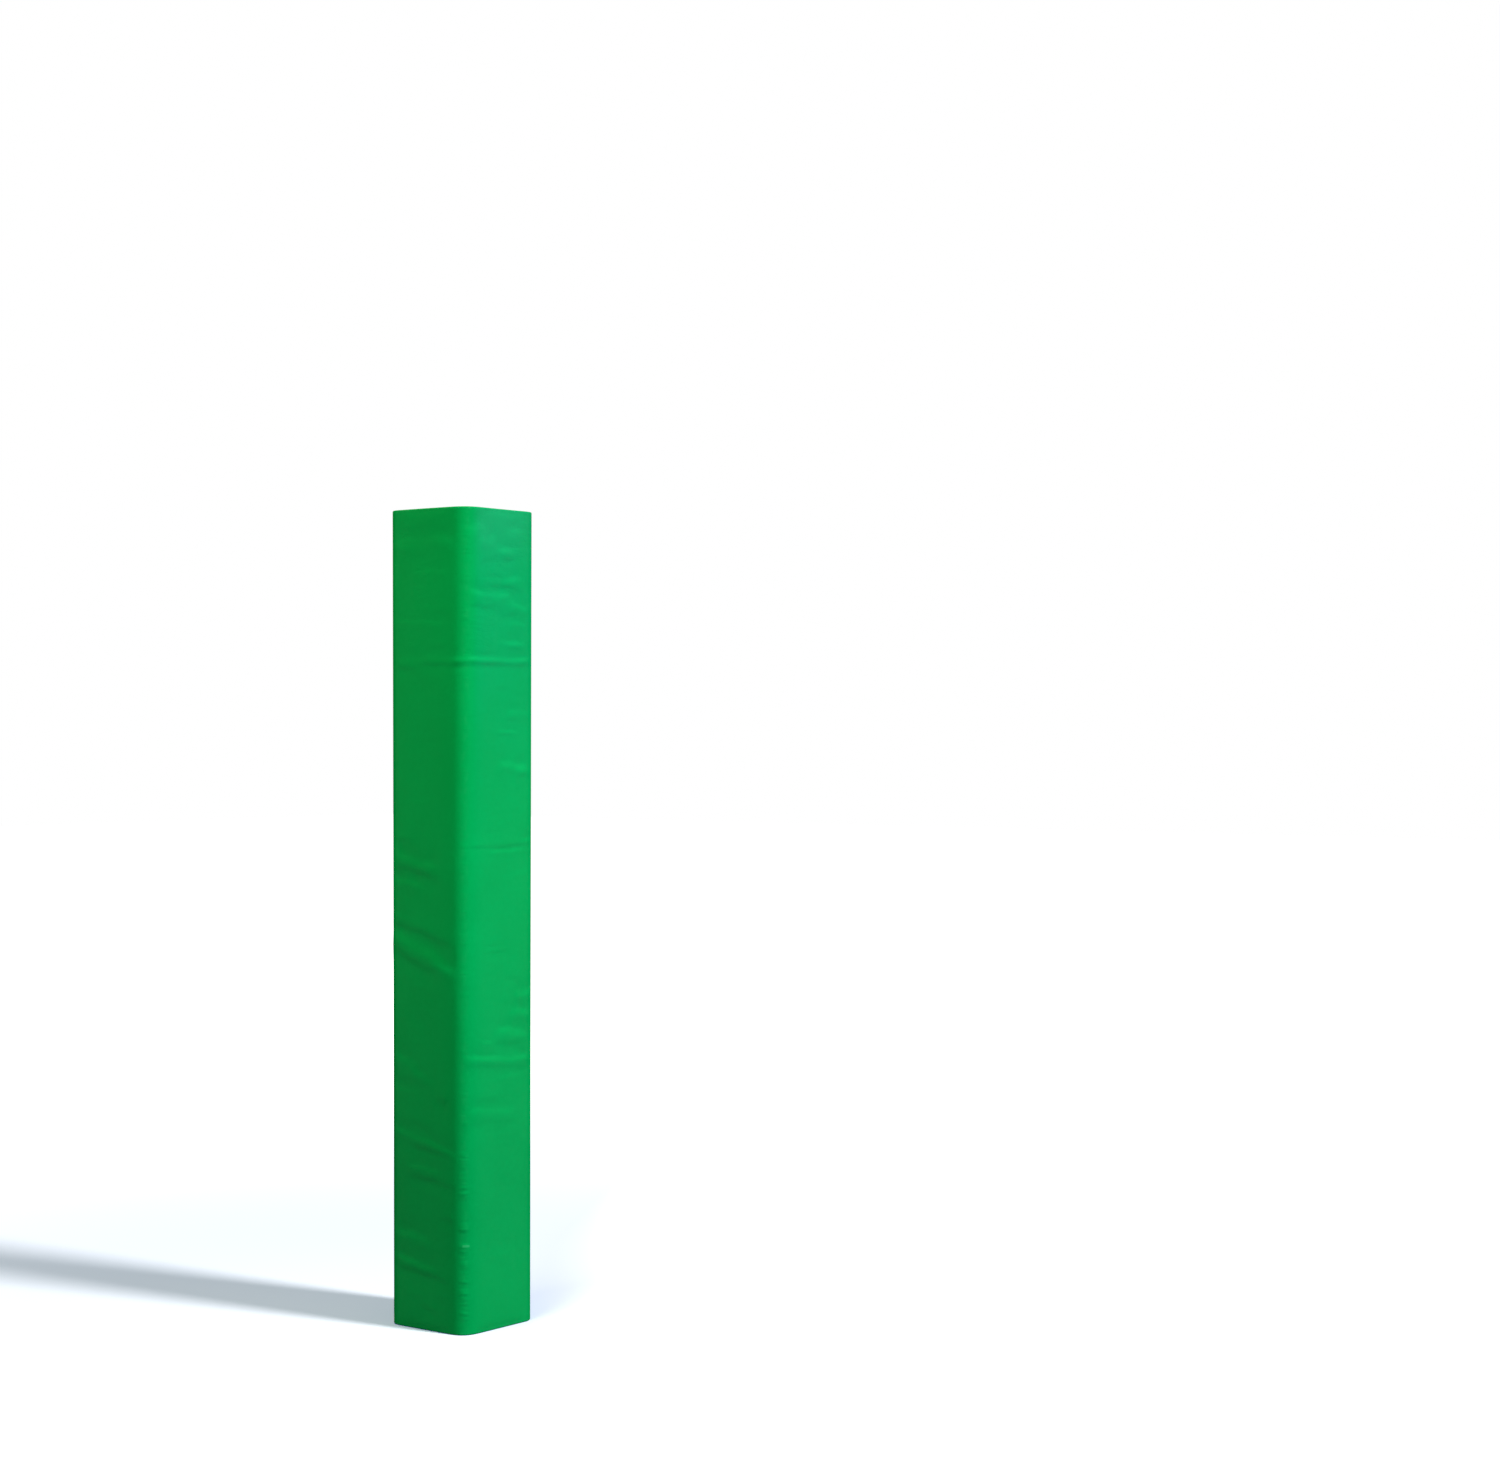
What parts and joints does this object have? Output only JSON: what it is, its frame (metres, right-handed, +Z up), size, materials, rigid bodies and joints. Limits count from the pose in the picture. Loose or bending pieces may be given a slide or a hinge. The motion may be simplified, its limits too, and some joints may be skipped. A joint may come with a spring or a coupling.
{
  "type": "basketball pole pad",
  "caption": "Square wrap-around padding for a basketball goal's post: mitred foam boards in coated cloth that fold round the post and close at a rear corner with hook and loop tape.",
  "frame": {"origin": "centre of the square footprint, on the plane that the pad stands on", "axes": "+Z up along the pad; the front panel faces -Y; the closing corner is at +X +Y"},
  "size_m": [0.3322, 0.3322, 2.6],
  "materials": {
    "cover_cloth": "satin",
    "lining_cloth": "matte",
    "foam": "matte",
    "hook_tape": "matte",
    "loop_tape": "matte"
  },
  "bodies": {
    "front_panel": {"front_foam_board": "foam", "front_cover_panel": "cover_cloth", "front_lining": "lining_cloth", "front_bottom_gusset": "cover_cloth", "front_top_gusset": "cover_cloth", "front_left_fold": "cover_cloth", "front_right_fold": "cover_cloth"},
    "right_panel": {"right_foam_board": "foam", "right_cover_panel": "cover_cloth", "right_lining": "lining_cloth", "right_bottom_gusset": "cover_cloth", "right_top_gusset": "cover_cloth", "closure_loop_tape": "loop_tape"},
    "rear_panel": {"rear_foam_board": "foam", "rear_cover_panel": "cover_cloth", "rear_lining": "lining_cloth", "rear_bottom_gusset": "cover_cloth", "rear_top_gusset": "cover_cloth", "closure_hook_tape": "hook_tape"},
    "left_panel": {"left_foam_board": "foam", "left_cover_panel": "cover_cloth", "left_lining": "lining_cloth", "left_bottom_gusset": "cover_cloth", "left_top_gusset": "cover_cloth", "left_rear_fold": "cover_cloth"}
  },
  "joints": [
    {"name": "left_fold", "type": "hinge", "parent": "front_panel", "child": "left_panel", "pos_m": [-0.15752, -0.15752, 0], "axis": [0, 0, 1], "range_deg": [0, 90], "deforming": ["front_left_fold"]},
    {"name": "right_fold", "type": "hinge", "parent": "front_panel", "child": "right_panel", "pos_m": [0.15752, -0.15752, 0], "axis": [0, 0, -1], "range_deg": [0, 90], "deforming": ["front_right_fold"]},
    {"name": "rear_fold", "type": "hinge", "parent": "left_panel", "child": "rear_panel", "pos_m": [-0.15752, 0.15752, 0], "axis": [0, 0, 1], "range_deg": [0, 90], "deforming": ["left_rear_fold"]}
  ]
}
